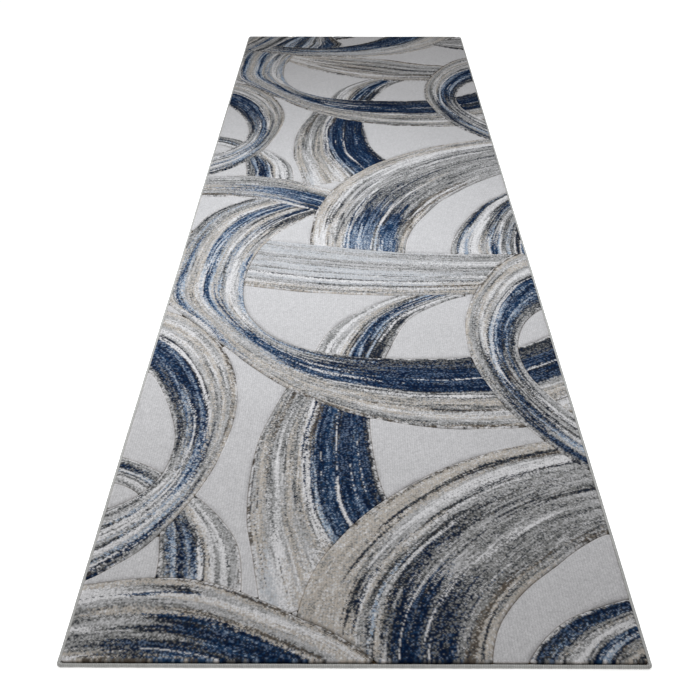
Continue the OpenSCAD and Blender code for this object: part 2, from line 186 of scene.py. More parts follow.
# Each brush: its stations, as [outer x, outer y, inner x, inner y], and its rows of bands
BRUSHES = {
    "left_fan": (
        [[125, 360, 95, 345], [170, 315, 98, 290], [205, 265, 102, 250], [225, 215, 108, 205],
         [234, 150, 110, 160], [236, 90, 110, 110]],
        "15: G0 L6 W16 G24 W32 T42 L52 G60 C70 G82 C100",
        "45: G0 L5 G14 W20 L28 W34 T42 C46 W49 C52 M56 H62 M72 K80 H85 G93 C100",
        "75: D0 L5 G12 W20 G28 W36 T43 C46 W49 K52 H54 H58 M70 K76 M84 G92 C100",
    ),
    "left_wisp": (
        [[-20, 455, -20, 385], [40, 428, 25, 372], [85, 398, 60, 345], [120, 360, 95, 320]],
        "0: G0 L15 C22 N32 C45 W52 C58 G70 W80 G100",
        "100: G0 L20 G35 K50 G65 W80 L100",
    ),
    "left_ring": (
        [[-30, 950, -30, 755], [70, 895, 22, 690], [145, 780, 62, 600], [182, 640, 86, 520],
         [178, 500, 90, 455], [145, 360, 78, 390], [90, 245, 45, 340], [40, 185, 0, 308],
         [-20, 140, -40, 290]],
        *RING_ROWS,
    ),
    "right_ring": (
        [[840, 1240, 850, 985], [745, 1178, 790, 950], [675, 1055, 752, 900], [636, 930, 730, 840],
         [627, 820, 722, 775], [640, 710, 732, 700], [680, 590, 760, 630], [735, 490, 795, 570],
         [810, 398, 850, 500]],
        RING_ROWS[0],
        "30: D0 T4 L10 G15 T20 W26 G30 T34 L40 C44 W46.5 W49 B51 K53 H58 N64 B70 K76 H82 M88 G100",
        "48: G0 T6 L12 G20 L26 W33 T38 C42 K46 W49 N51 H57 N63 C70 B76 C84 C92 L100",
        "62: G0 T6 L14 G20 C26 N32 M38 K44 W47 N49 C56 D64 L70 C74 L82 C88 L94 G100",
        "74: G0 L6 C12 N20 M27 H34 G38 N42 C50 L55 C60 L66 C73 W80 C85 L92 G100",
        "88: C0 G6 N10 N16 G20 L26 K34 N40 L44 W52 C58 L64 C72 W79 G86 L92 W100",
    ),
    "column": (
        [[285, 690, 425, 640], [255, 580, 426, 560], [237, 500, 428, 500], [229, 400, 438, 400],
         [233, 290, 455, 330], [250, 200, 490, 260], [272, 80, 540, 190]],
        "10: G0 G6 D13 L16 G19 G26 G34 W38 N41 W43 D46 N54 B60 C70 N73 N85 N95 N100",
        "50: D0 L2 T7 G14 L18 W21 L24 G26 T30 G35 T38 W41 N43 W45.5 N47 H51 N53 N60 B64 N67 W68 N69 N80 B86 "
        "N92 N95 C100",
        "75: D0 T1.5 T6 L12 W16 L22 T26 L32 T38 G41 W43 G45 W47 C48 K51 N53 B60 N64 W68 N69 B80 N90 C100",
        "95: S0 A8 W15 T25 W38 T44 W47 G50 K53 B60 N75 C100",
    ),
    "near_right_sweep": (
        [[325, -30, 582, -30], [320, 80, 597, 60], [352, 200, 640, 132], [430, 315, 700, 190],
         [540, 410, 750, 235], [660, 470, 790, 260], [830, 512, 850, 280]],
        "5: T0 T20 T32 L36 C39 T40.5 L46 C48 M50 N60 M72 N80 M86 D91 T94 C96 T98 T100",
        "22: T0 T14 T22 C26 M29 W31 G33 C36 K38 L40 C43 M46 N56 M65 W66 M67.5 M78 G86 D91 T94 C96 T97.5 T100",
        "40: T0 T8 T14 C16 T18 G22 L24 L27 T32 G36 C39 W41 M43 G52 L60 G67 W68 G69 G78 G84 D90 T94 G96.5 T98 "
        "T100",
        "58: D0 T3 T10 C12 T15 L20 W24 L28 C31 W33 L35 C42 G44 C48 L52 G58 G64 L68 W71 G74 G88 G95 L100",
        "85: D0 T3 T9 C11 D14 L17 W20 W26 C28 L31 G35 L40 G45 L48 G52 C57 L60 G66 L72 G76 L80 G86 G92 D100",
    ),
    "near_left_sweep": (
        [[-30, 135, -30, -40], [100, 160, 90, -30], [200, 147, 180, -40], [320, 85, 270, -60],
         [390, 42, 330, -90], [470, -40, 400, -130]],
        "8: D0 T3 W8 W20 L26 G30 L34 G40 L44 W50 G55 L60 G66 T72 D78 G85 D100",
        "20: D0 T3 L8 W16 L22 G27 T32 G38 L44 G48 L53 G58 G62 M68 M74 D80 D88 D100",
        "29: T0 T3 C10 N13 B16 C18 W20 L24 G29 T34 G38 G44 M48 G53 G58 M62 N68 M74 D80 D88 D100",
        "36: D0 T3 L8 W15 T21 L27 D31 T35 N38 C42 N46 C53 G58 C62 N66 B73 D80 D100",
        "55: D0 T3 L8 W14 T20 L26 D30 T34 N37 B40 N43 N50 N55 B60 N62 C70 D78 D100",
        "80: D0 T3 W10 T18 L26 G32 T36 C42 B45 N48 N60 C75 D100",
    ),
    "near_corner_sweep": (
        [[620, -30, 760, -60], [660, 42, 780, -30], [720, 92, 800, 10], [830, 132, 850, 50]],
        "0: C0 N6 C14 H18 N21 G25 T30 L36 W44 G48 N51 K55 N58 K63 C66 D72 G78 T84 C92 D100",
        "100: C0 N6 N16 C20 L24 G30 W42 G46 N50 B54 N58 K62 N66 G74 T84 C92 D100",
    ),
    "inner_arc": (
        [[322, 760, 452, 740], [345, 845, 480, 830], [385, 910, 510, 905], [450, 975, 560, 960],
         [540, 1035, 640, 1010]],
        "20: G0 L5 G10 W14 L24 W32 T38 C42 T45 C48 K51 N54 B60 K63 N66 C74 K78 C81 C92 G100",
        "45: G0 L5 G10 W14 L24 T32 G38 C42 L46 N49 K53 N56 N64 B70 K74 C78 W84 C88 G100",
        "75: G0 L6 W14 L22 T30 C36 L40 C43 K46 N50 N60 B66 C70 W73 L78 C83 W86 L94 G100",
    ),
    "light_band": (
        [[20, 1330, 20, 1110], [150, 1288, 140, 1062], [300, 1250, 300, 1025], [450, 1219, 450, 1012],
         [600, 1205, 600, 1014], [830, 1200, 830, 1040]],
        "20: S0 A4 L12 A20 L30 G34 A36 L44 G47 A48.5 L57 G60 A62 L69 C72 W73.5 A78 L84 G87 S88.5 T94 G97 "
        "T100",
        "55: W0 A2 L14 A26 L31 G34 L36 L45 A48 A57 G60 A62 A68 C71 W72.5 A77 G84 S86 T92 G95 T100",
        "85: W0 L3 G10 L22 W30 L36 G42 L50 G56 W60 L66 G72 T78 D82 T86 G91 T95 L100",
    ),
    "big_ring": (
        [[850, 600, 850, 895], [720, 540, 720, 795], [600, 531, 600, 760], [480, 546, 480, 757],
         [370, 590, 380, 767], [270, 662, 295, 795], [170, 770, 225, 850], [70, 895, 175, 935],
         [0, 990, 157, 1030], [-8, 1130, 160, 1140], [5, 1290, 185, 1250], [60, 1445, 240, 1350],
         [200, 1545, 310, 1425], [340, 1560, 400, 1470]],
        "0: D0 T4 W20 T30 L42 N50 C60 N72 C85 C100",
        "15: D0 D3 G5 L11 T14 W16 L20 D24 G27 T34 G39 W42 C44 L46 C48 N50 N60 N65 W67 N69 N82 M90 C100",
        "25: D0 D3 G5 L12 T16 W19 T22 G28 T36 G40 W43 C45 L47 C49 N51 N60 B68 N72 N82 M88 C100",
        "33: D0 D3 T5 G10 L16 T22 L27 T32 G38 G43 C45 W46.5 N49 B53 N58 W61 N63 N68 W71 M73 M88 C100",
        "42: D0 T2 L8 T18 G28 L36 T42 K46 L50 H54 N58 B66 N72 H77 G80 L84 L90 H95 L100",
        "50: G0 B5 H12 L16 T24 L34 L44 L50 H56 B60 N66 H69 L72 T78 G84 L88 K94 L97 L100",
        "57: L0 W10 B15 H18 K23 L26 T34 W44 K49 B52 K56 L59 T68 K72 L75 W78 W88 L93 K97 S100",
        "66: L0 T8 G13 B16 K22 L26 T36 L42 K45 N48 B53 K56 T60 L64 K68 C70 L73 W80 L88 K94 B97 L100",
        "76: G0 G6 K12 G15 L24 T32 L38 K41 B43 K46 B48 K51 G54 L60 W65 G68 H74 L78 W82 G85 T90 L95 T100",
        "88: G0 C5 G9 L14 G20 T28 W34 G38 B42 K46 N50 B54 L57 C61 T66 L70 C73 N79 W83 C86 C93 D100",
        "100: G0 L10 G25 N40 B55 W60 C66 N80 W84 C90 D100",
    ),
    "middle_left_sweep": (
        [[-40, 1642, -40, 1530], [100, 1662, 90, 1525], [200, 1642, 180, 1505], [300, 1593, 270, 1460],
         [370, 1545, 330, 1420], [450, 1480, 410, 1370]],
        "15: D0 L3 L12 G22 L30 G38 L42 T52 G58 T64 G70 L76 L84 D92 G100",
        "40: D0 L3 L8 G20 G26 G34 G40 H48 B54 H60 H68 L74 G80 K86 D92 G100",
        "58: D0 T3 G8 T18 G26 G34 N40 B46 N52 H57 B62 H68 B74 L80 B86 L92 W100",
        "72: D0 T3 W10 T18 L28 G34 C39 B43 N48 B54 K58 N62 B68 N74 K79 C83 N90 C100",
    ),
    "middle_right_sweep": (
        [[299, 1251, 515, 1211], [298, 1330, 530, 1310], [312, 1460, 556, 1380], [365, 1615, 612, 1490],
         [470, 1757, 690, 1590], [600, 1862, 760, 1655], [740, 1922, 830, 1705], [850, 1945, 900, 1740]],
        "4: D0 T2 W5 W14 T18 L21 T24 L27 T31 W34 K36 B38 K40 H42 H47 K52 H56 H62 G66 K68 G70 K73 B78 H83 B89 "
        "G92 T96 L100",
        "14: D0 T2 W5 T12 C15 T18 W22 G26 C29 L31 G34 B37 W39 B41 H45 B52 H58 H63 C66 W68 B70 B74 B80 B86 "
        "G91 D95 T100",
        "22: D0 T2 T8 C13 W16 C19 T23 L28 C32 W34 N37 L40 N43 N50 B58 N64 T67 W69 C71 N75 N84 C90 D94 T97 "
        "D100",
        "36: D0 T2 T10 W16 G20 L23 C26 W27.5 L31 G34 W37 G40 M45 G52 M60 G64 W67 G69 M72 G80 G87 D91 W94 D97 "
        "L100",
        "50: D0 T2 T8 G15 W17 G21 W24 L28 G31 L34 G38 L42 G47 M55 G62 T66 L69 G74 G82 G88 D92 W95 D98 L100",
        "68: D0 T2 G8 T11 W18 W26 G29 L32 C36 W37.5 G42 L48 G54 G61 L66 G71 G80 G88 L95 L100",
        "92: D0 T2 G10 T12 W18 W24 C26 L29 G34 G40 L46 G52 C55 L58 G64 L72 G78 L86 G94 L100",
    ),
    "middle_corner_sweep": (
        [[627, 1206, 830, 1204], [635, 1275, 830, 1250], [670, 1375, 840, 1330], [725, 1475, 850, 1400],
         [800, 1560, 880, 1480], [860, 1610, 920, 1520]],
        "5: L0 G2 N6 K9 W12 K15 L18 W23 W29 T33 L38 T42 K44 N47 B51 K54 W57 G60 K64 G68 W72 C75 W78 B80 N85 "
        "K89 W92 B100",
        "45: L0 C2 N6 C10 L13 W18 W27 G31 C35 N39 K42 C45 L49 W53 G56 C60 L63 C67 W71 C74 L80 C100",
        "80: L0 B3 C8 W14 L24 C30 N38 G44 C50 L56 C64 C100",
    ),
    "far_band": (
        [[120, 2790, 150, 2720], [260, 2755, 210, 2640], [380, 2735, 300, 2562], [500, 2708, 420, 2500],
         [620, 2655, 560, 2468], [730, 2632, 680, 2478], [830, 2625, 800, 2500]],
        "10: D0 T10 T30 W45 T60 W75 T88 T100",
        "35: D0 T5 L14 L22 D28 T32 G40 D46 T50 D58 C61 L64 T70 D76 W80 T88 G94 D100",
        "70: D0 T6 L12 G24 L34 C42 G45 L56 G62 D68 G72 W78 C82 T86 G92 T96 D100",
    ),
    "far_fan": (
        [[95, 2780, 300, 2780], [112, 2880, 355, 2880], [150, 2950, 335, 2935], [200, 3020, 310, 3010]],
        "30: C0 N4 C9 K14 N20 K26 C32 N40 K45 L50 C55 K62 N68 B76 N84 C92 G100",
        "90: C0 N5 N12 K18 C24 N32 C40 K50 C58 L66 C75 N85 D92 D100",
    ),
    "far_sweep": (
        [[800, 3030, 530, 3030], [735, 2925, 490, 2960], [640, 2828, 435, 2905], [520, 2757, 365, 2865],
         [380, 2738, 280, 2845], [220, 2748, 190, 2850], [100, 2785, 90, 2880], [-30, 2844, -30, 2950]],
        "10: D0 G5 T14 L24 T32 L38 G44 C50 B54 N60 B70 N76 N86 C94 C100",
        "30: D0 T4 L12 T20 W28 G36 L44 K48 C53 B58 N64 N74 N84 C94 C100",
        "45: D0 T4 L12 A22 A34 A44 G50 C56 B64 H74 N84 C100",
        "60: D0 G5 L14 G24 A34 G44 B54 K64 G74 C86 G100",
        "75: D0 G8 L18 G26 B34 G44 B54 C64 N76 C88 C100",
        "90: C0 G10 L20 G30 T42 L52 G60 T70 L80 G90 T100",
    ),
    "far_left_sweep": (
        [[-60, 2870, 60, 2800], [-25, 2950, 110, 2880], [5, 3030, 160, 2990]],
        "50: G0 C10 L18 G26 T34 C42 L50 G58 B66 L74 G84 C92 G100",
    ),
    "far_corner_sweep": (
        [[690, 2885, 720, 2940], [750, 2845, 770, 2960], [840, 2805, 850, 2980]],
        "50: C0 D8 L16 G26 W36 G46 L56 G66 L78 G88 D100",
    ),
}


def linear(display):
    """Display colours, from 0 to 255, as linear light."""
    share = np.asarray(display, float) / 255
    return np.where(share <= 0.04045, share / 12.92, ((share + 0.055) / 1.055) ** 2.4)


YARN_COLOURS = linear([YARNS[letter] for letter in YARN_LETTERS])


def chance(i, j, seed):
    """An even draw from 0 to 1 for each pair of whole numbers, the same on every run."""
    mixed = i.astype(np.int64) * 374761393 + j.astype(np.int64) * 668265263 + seed * 2147483647
    mixed &= 0xFFFFFFFF
    mixed = ((mixed ^ (mixed >> 13)) * 1274126177) & 0xFFFFFFFF
    return ((mixed ^ (mixed >> 16)) & 0xFFFFFF) / 0xFFFFFF


def ease(x):
    """0 to 1 with a soft start and end."""
    x = np.clip(x, 0, 1)
    return x * x * (3 - 2 * x)


def noise(x, y, seed):
    """Smooth noise from 0 to 1, with lumps about one unit across."""
    i, j = np.floor(x), np.floor(y)
    u, v = ease(x - i), ease(y - j)
    near = chance(i, j, seed) * (1 - u) + chance(i + 1, j, seed) * u
    far = chance(i, j + 1, seed) * (1 - u) + chance(i + 1, j + 1, seed) * u
    return near * (1 - v) + far * v


def smooth_curve(stations, steps):
    """Stations filled in with the same smooth curve as the CAD outline has."""
    p = np.array(stations, float)
    first = 3 * p[0] - 3 * p[1] + p[2]
    last = 3 * p[-1] - 3 * p[-2] + p[-3]
    p = np.vstack([first, p, last])
    t = np.linspace(0, 1, steps, endpoint=False)[:, None]
    spans = [
        b + t * (c - a) / 2 + t**2 * (2 * a - 5 * b + 4 * c - d) / 2 + t**3 * (3 * b - a - 3 * c + d) / 2
        for a, b, c, d in zip(p, p[1:], p[2:], p[3:])
    ]
    return np.vstack([*spans, p[-2:-1]])


def brush_of(node):
    """Stations and rows of bands of the brush that drew a pile node, and how far along it is repeated."""
    name = node.removeprefix("pile_").removesuffix("_near").removesuffix("_far")
    stations, *rows = BRUSHES[name]
    return stations, rows, REPEAT if node.endswith("_far") else 0


def on_rug(stations, shift):
    """Stations in the design's millimetres as places on the rug in metres."""
    rug = cad_high - cad_low
    p = np.array(stations, float) + [0, shift, 0, shift]
    scale = np.array([rug.x / DESIGN_WIDTH, rug.y / DESIGN_LENGTH] * 2)
    return p * scale + np.array([cad_low.x, cad_low.y] * 2)


def brush_places(stations, first, shape):
    """How far along and across a sweep each tuft is, from 0 to 1, and the sweep's length and width.

    The sweep is sampled along and across, closely enough that no tuft of it is missed.
    """
    p = smooth_curve(stations, 30)
    middle = (p[:, :2] + p[:, 2:]) / 2
    walked = np.r_[0, np.cumsum(np.linalg.norm(np.diff(middle, axis=0), axis=1))]
    widths = np.linalg.norm(p[:, :2] - p[:, 2:], axis=1)
    length, width = walked[-1], widths.mean()
    s = np.linspace(0, 1, int(length / TUFT * 3))
    spare = 4 * TUFT / width
    t = np.linspace(-spare, 1 + spare, int(widths.max() / TUFT * 2.4))
    q = np.stack([np.interp(s * length, walked, p[:, i]) for i in range(4)], axis=1)
    x = q[:, None, 0] * (1 - t) + q[:, None, 2] * t
    y = q[:, None, 1] * (1 - t) + q[:, None, 3] * t
    column = np.floor(x / TUFT).astype(int) - first[0]
    row = np.floor(y / TUFT).astype(int) - first[1]
    here = (column >= 0) & (column < shape[1]) & (row >= 0) & (row < shape[0])
    along, across = np.zeros(shape), np.zeros(shape)
    s, t = np.broadcast_arrays(s[:, None], t[None, :])
    along[row[here], column[here]] = s[here]
    across[row[here], column[here]] = t[here].clip(0, 1)
    return along, across, length, width


def draw_bands(rows, along, across, draw, draw_row):
    """Each tuft's band, drawn between the two nearest ones, of one of the two nearest rows."""
    places, drawn = [], []
    for row in rows:
        place, text = row.split(":")
        places.append(float(place) / 100)
        words = text.split()
        stops = np.array([float(word[1:]) / 100 for word in words])
        letters = np.array([BANDS.index(word[0]) for word in words])
        k = np.clip(np.searchsorted(stops, across, side="right") - 1, 0, len(stops) - 2)
        share = (across - stops[k]) / (stops[k + 1] - stops[k])
        drawn.append(letters[k + ((share - 0.5) * 1.2 + 0.5 > draw)])
    places = np.array(places)
    k = np.clip(np.searchsorted(places, along, side="right") - 1, 0, len(places) - 1)
    after = np.minimum(k + 1, len(places) - 1)
    share = (along - places[k]) / np.maximum(places[after] - places[k], TINY)
    return np.choose(np.where(share > draw_row, after, k), drawn)


def swap(drawn, where, letter):
    """Puts the tufts there in another band."""
    drawn[where] = BANDS.index(letter)


def sweep_yarns(node, i, j, seed):
    """The yarn of each tuft of a sweep: brushed bands that wander, fray and break up.

    All of it comes from noise over u and v, the millimetres along and across the sweep. The noise is
    much longer along the sweep than across it, as the marks of a brush are.
    """
    stations, rows, shift = brush_of(node)
    first = (int(i.min()), int(j.min()))
    along, across, length, width = brush_places(on_rug(stations, shift), first, i.shape)
    u, v = along * length / MM, across * width / MM
    wander = (noise(u / 170, v / 40, seed) - 0.5) * BAND_WANDER * MM / width
    fray = (noise(u / 90, v / 3, seed + 1) - 0.5) * BAND_FRAY * MM / width
    ragged = (noise(u / 90, v / 4, seed + 2) - 0.5) * ROW_RAGGED
    one = chance(i, j, seed + 3)
    streak = noise(u / 190, v / 2.6, seed + 4) * 0.65 + noise(u / 50, v / 2.3, seed + 5) * 0.35
    draw = np.clip(0.5 + (one - 0.5) * 0.8 + (streak - 0.5) * 1.8, 0.02, 0.98)
    draw_row = np.clip(0.5 + (chance(i, j, seed + 6) - 0.5) * 0.8 + (streak - 0.5) * 1.6, 0.02, 0.98)
    drawn = draw_bands(rows, along + ragged, np.clip(across + wander + fray, 0, 1), draw, draw_row)
    swap(drawn, (noise(u / 260, v / 2.4, seed + 7) > WHITE_STREAKS) & (one > 0.15), "W")
    swap(drawn, (noise(u / 160, v / 2.4, seed + 8) > DARK_STREAKS) & (one > 0.25), "C")
    rim = np.minimum(v, width / MM - v)
    dark = np.isin(drawn, DARK_BANDS)
    swap(drawn, dark & (rim < PALE_RIM * noise(u / 8, u * 0, seed + 11)) & (one > 0.25), "S")
    fine = noise(u / 40, v / 2.3, seed + 10)
    # Painted shade: the far repeat's tufts lean to the darker yarns of each blend
    share = chance(i, j, seed + 9) + (fine - 0.5) * 0.6 - (FAR_PAINTED_SHADE if shift else 0)
    share = np.clip(share, 0, 0.999)
    return TUFTED[drawn, (share * TUFTED.shape[1]).astype(int)]


def pile_colours(node, i, j, seed):
    """Linear colour of each tuft of a pile node, by its column and row."""
    if node == "ground_pile":
        yarns = np.full(i.shape, YARN_LETTERS.index("S"))
    else:
        yarns = sweep_yarns(node, i, j, seed)
    x, y = i * TUFT / MM, j * TUFT / MM
    # Painted light where the pile's lay makes patches brighter and darker, and a random tone for each tuft
    lay = noise(x / 130, y / 160, 3) * 0.6 + noise(x / 45, y / 12, 4) * 0.4
    each = 1 + LAY_PAINTED_LIGHT * (lay - 0.5) + TUFT_SHADE * (chance(i, j, 7) - 0.5)
    return YARN_COLOURS[yarns] * each[..., None]


# ---- Meshes -----------------------------------------------------------------------------


def make_piece(name, node, points, faces, colours, material, slot):
    """The piece that stands for a CAD node: points, arrays of faces and a linear colour for each point."""
    mesh = bpy.data.meshes.new(name)
    loops = np.concatenate([f.ravel() for f in faces]).astype(np.int32)
    sizes = np.concatenate([np.full(len(f), f.shape[1]) for f in faces])
    starts = np.r_[0, np.cumsum(sizes)[:-1]].astype(np.int32)
    mesh.vertices.add(len(points))
    mesh.vertices.foreach_set("co", np.asarray(points, np.float32).ravel())
    mesh.loops.add(len(loops))
    mesh.loops.foreach_set("vertex_index", loops)
    mesh.polygons.add(len(sizes))
    mesh.polygons.foreach_set("loop_start", starts)
    mesh.update(calc_edges=True)
    mesh.validate()
    mesh.polygons.foreach_set("use_smooth", np.ones(len(mesh.polygons), bool))
    yarn = mesh.color_attributes.new("yarn", "FLOAT_COLOR", "POINT")
    rgba = np.column_stack([np.asarray(colours).reshape(-1, 3), np.ones(len(points))])
    yarn.data.foreach_set("color", rgba.astype(np.float32).ravel())
    mesh.materials.append(material)
    piece = bpy.data.objects.new(name, mesh)
    bpy.context.scene.collection.objects.link(piece)
    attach(piece, BODY)
    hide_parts(node)
    return piece


def edges_without_twin(polygons):
    """Directed edges of the polygons that no neighbour runs back along."""
    edges = np.concatenate(
        [np.stack([p[:, k], p[:, (k + 1) % p.shape[1]]], axis=1) for p in polygons for k in range(p.shape[1])]
    )
    edges = edges[edges[:, 0] != edges[:, 1]]
    count = edges.max() + 1
    there = edges[:, 0] * count + edges[:, 1]
    back = edges[:, 1] * count + edges[:, 0]
    return edges[~np.isin(there, back)]


def closed_loops(edges):
    """Directed edges chained into closed loops."""
    leaving = defaultdict(list)
    for a, b in edges.tolist():
        leaving[a].append(b)
    loops = []
    for start in list(leaving):
        while leaving[start]:
            loop, step = [start], leaving[start].pop()
            while step != start:
                loop.append(step)
                step = leaving[step].pop()
            loops.append(loop)
    return loops


def area_of(loop):
    """Area inside a closed loop of points, negative where it runs clockwise."""
    x, y = np.asarray(loop).T
    return 0.5 * float(np.sum(x * np.roll(y, -1) - np.roll(x, -1) * y))


def mean_width(loop):
    """Rough width of the strip inside a loop, negative where the loop runs clockwise."""
    return 2 * area_of(loop) / float(np.linalg.norm(loop - np.roll(loop, -1, axis=0), axis=1).sum())


def holds(loop, point):
    """True if the point is inside the loop."""
    a, b = loop, np.roll(loop, -1, axis=0)
    crossed = (a[:, 1] > point[1]) != (b[:, 1] > point[1])
    a, b = a[crossed], b[crossed]
    at = a[:, 0] + (point[1] - a[:, 1]) * (b[:, 0] - a[:, 0]) / (b[:, 1] - a[:, 1])
    return bool(np.sum(at > point[0]) % 2)


def top_islands(node):
    """Each island of a CAD pile block's top face, as its outer loop and the loops of its holes.

    An island narrower than a tuft is left out.
    """
    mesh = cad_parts[node].data
    mesh.calc_loop_triangles()
    points = np.empty(len(mesh.vertices) * 3, np.float32)
    mesh.vertices.foreach_get("co", points)
    points = points.reshape(-1, 3).astype(float)
    corners = np.empty(len(mesh.loop_triangles) * 3, np.int32)
    mesh.loop_triangles.foreach_get("vertices", corners)
    triangles = corners.reshape(-1, 3)
    on_top = points[:, 2] > points[:, 2].max() - SAME_POINT
    triangles = triangles[on_top[triangles].all(axis=1)]
    places = np.round(points[:, :2] / SAME_POINT).astype(np.int64)
    _, first, joined = np.unique(places, axis=0, return_index=True, return_inverse=True)
    edges = edges_without_twin([joined.ravel()[triangles].astype(np.int64)])
    loops = [points[first[loop], :2] for loop in closed_loops(edges)]
    outer = [loop for loop in loops if mean_width(loop) > TUFT]
    holes = [loop for loop in loops if area_of(loop) < 0]
    return [[loop, *[hole for hole in holes if holds(loop, hole[0])]] for loop in outer]


def inside_corners(ends, first, shape):
    """Grid corners inside the outline, by counting the crossings to their left."""
    flips = np.zeros(shape, np.int8)
    for (ax, ay), (bx, by) in ends:
        rows = np.arange(math.ceil(min(ay, by)), math.ceil(max(ay, by)))
        if len(rows):
            columns = np.ceil(ax + (rows - ay) * (bx - ax) / (by - ay)).astype(int)
            flips[rows - first[1], columns - first[0]] ^= 1
    return np.bitwise_xor.accumulate(flips, axis=1).astype(bool)


def nearest_edges(ends, first, shape):
    """Distance from each grid corner to the outline, and the nearest point, near the outline."""
    distance = np.full(shape, np.inf)
    nearest = np.zeros((*shape, 2))
    for a, b in ends:
        low = np.floor(np.minimum(a, b)).astype(int) - GRID_REACH
        high = np.ceil(np.maximum(a, b)).astype(int) + GRID_REACH + 1
        window = (slice(low[1] - first[1], high[1] - first[1]), slice(low[0] - first[0], high[0] - first[0]))
        p = np.stack(np.meshgrid(np.arange(low[0], high[0]), np.arange(low[1], high[1])), axis=-1)
        along = np.clip((p - a) @ (b - a) / max((b - a) @ (b - a), TINY), 0, 1)
        q = a + along[..., None] * (b - a)
        d = np.linalg.norm(p - q, axis=-1)
        nearer = d < distance[window]
        distance[window][nearer] = d[nearer]
        nearest[window][nearer] = q[nearer]
    return distance, nearest


def four_corners(grid):
    """What a grid holds at the four corners of each of its squares, counter-clockwise."""
    return [grid[:-1, :-1], grid[:-1, 1:], grid[1:, 1:], grid[1:, :-1]]


class TuftGrid:
    """The corners between the tufts of an island of pile, by row and column, and the tufts among them."""

    def __init__(self, loops):
        starts = np.concatenate(loops) / TUFT
        stops = np.concatenate([np.roll(loop, -1, axis=0) for loop in loops]) / TUFT
        ends = np.stack([starts, stops], axis=1)
        first = np.floor(starts.min(axis=0)).astype(int) - GRID_REACH - 1
        last = np.ceil(starts.max(axis=0)).astype(int) + GRID_REACH + 1
        self.column, self.row = np.meshgrid(*[np.arange(a, b + 1) for a, b in zip(first, last)])
        self.shape = self.column.shape

        # Corners near the outline move almost onto it, and the grid keeps those and the ones inside
        distance, nearest = nearest_edges(ends, first, self.shape)
        self.moved = distance <= 0.5
        kept = inside_corners(ends, first, self.shape) | self.moved
        self.xy = np.stack([self.column, self.row], axis=-1).astype(float)
        self.xy[self.moved] += 0.98 * (nearest[self.moved] - self.xy[self.moved])
        self.xy *= TUFT
        self.depth_inside = np.where(self.moved, 0, distance) * TUFT
        self.nearest = nearest * TUFT

        # Whole tufts have four kept corners, and tufts cut by the outline have three
        square = np.stack(four_corners(kept))
        any_deep = np.any(four_corners(kept & ~self.moved), axis=0)
        number = np.arange(self.column.size).reshape(self.shape)
        self.corner_numbers = np.stack(four_corners(number), axis=-1)
        self.whole = square.all(axis=0) & any_deep
        self.cut = (square.sum(axis=0) == 3) & any_deep
        self.quads = self.corner_numbers[self.whole]
        self.slivers = np.concatenate([
            self.corner_numbers[self.cut & ~square[k]][:, [(k + 1) % 4, (k + 2) % 4, (k + 3) % 4]]
            for k in range(4)
        ])


def outermost(points):
    """True for points on the pile's outer edge, along the binding."""
    return (np.abs(points) > np.array([pile_half.x, pile_half.y]) - EDGE_MARGIN).any(axis=-1)


def carved(inside, shoulder):
    """How much lower the pile is cut at a distance inside the CAD block's outline."""
    return GROOVE_DEPTH * (1 - ease((inside + GROOVE_LEAN) / (shoulder + GROOVE_LEAN)))


def groove_cut(grid, node):
    """How much lower the pile is cut at each corner: softly, and unevenly along the outline."""
    cut_down = carved(grid.depth_inside, GROOVE_SHOULDER)
    if node == "ground_pile":
        cut_down = (cut_down + carved(grid.depth_inside, GROUND_SHOULDER)) / 2
    cut_down[outermost(grid.nearest)] *= EDGE_DROOP
    return cut_down * np.clip(1.9 * noise(grid.column / 30, grid.row / 30, 24) - 0.35, 0.06, 1)


def dip_colours(grid, tufts):
    """The colour at each corner: the mean of the tufts round it, darkened by the painted shade between them.
    """
    there = (grid.whole | grid.cut).astype(float)
    total, count = np.zeros((*grid.shape, 3)), np.zeros(grid.shape)
    for corner_total, corner_count in zip(four_corners(total), four_corners(count)):
        corner_total += tufts * there[..., None]
        corner_count += there
    # Painted shade: the dips between the tufts are darker, every second column more so, the outline less
    shade = np.where(grid.moved, RIM_PAINTED_SHADE, np.array(DIP_PAINTED_SHADES)[grid.column % 2])
    return total / np.maximum(count, 1)[..., None] * shade[..., None]


def pile_corners(grid, cut_down):
    """Points at the corners, in the dips between the tufts."""
    top = pile_top - cut_down
    top -= TUFT_DOME + COLUMN_DIP * (grid.column % 2 == 0)
    top += TUFT_JITTER * (chance(grid.column, grid.row, 21) - 0.5)
    return np.concatenate([grid.xy, top[..., None]], axis=-1).reshape(-1, 3)


def tuft_tips(grid, corners, cut_down):
    """Points at the tips of the whole tufts, cut a little unevenly."""
    tip = corners[grid.quads].mean(axis=1)
    uneven = 2 * chance(grid.column[:-1, :-1][grid.whole], grid.row[:-1, :-1][grid.whole], 22) - 1
    tip[:, 2] = pile_top - cut_down.ravel()[grid.quads].mean(axis=1) + TUFT_JITTER * uneven
    return tip


def leaning_rim(corners, edges, rim, cut_down):
    """The rim's points again, lower and further out, where the pile leans into the groove."""
    away = np.zeros((len(corners), 2))
    run = corners[edges[:, 1], :2] - corners[edges[:, 0], :2]
    for end in (0, 1):
        np.add.at(away, edges[:, end], np.stack([run[:, 1], -run[:, 0]], axis=1))
    away = away[rim] / np.maximum(np.linalg.norm(away[rim], axis=1), TINY)[:, None]
    at_edge = outermost(corners[rim, :2])
    lower = corners[rim].copy()
    lower[:, :2] += away * np.where(at_edge, EDGE_LEAN, GROOVE_LEAN)[:, None]
    lower[:, 2] -= np.where(at_edge, EDGE_DROP, 0.1 * MM + 0.4 * cut_down.ravel()[rim])
    return lower


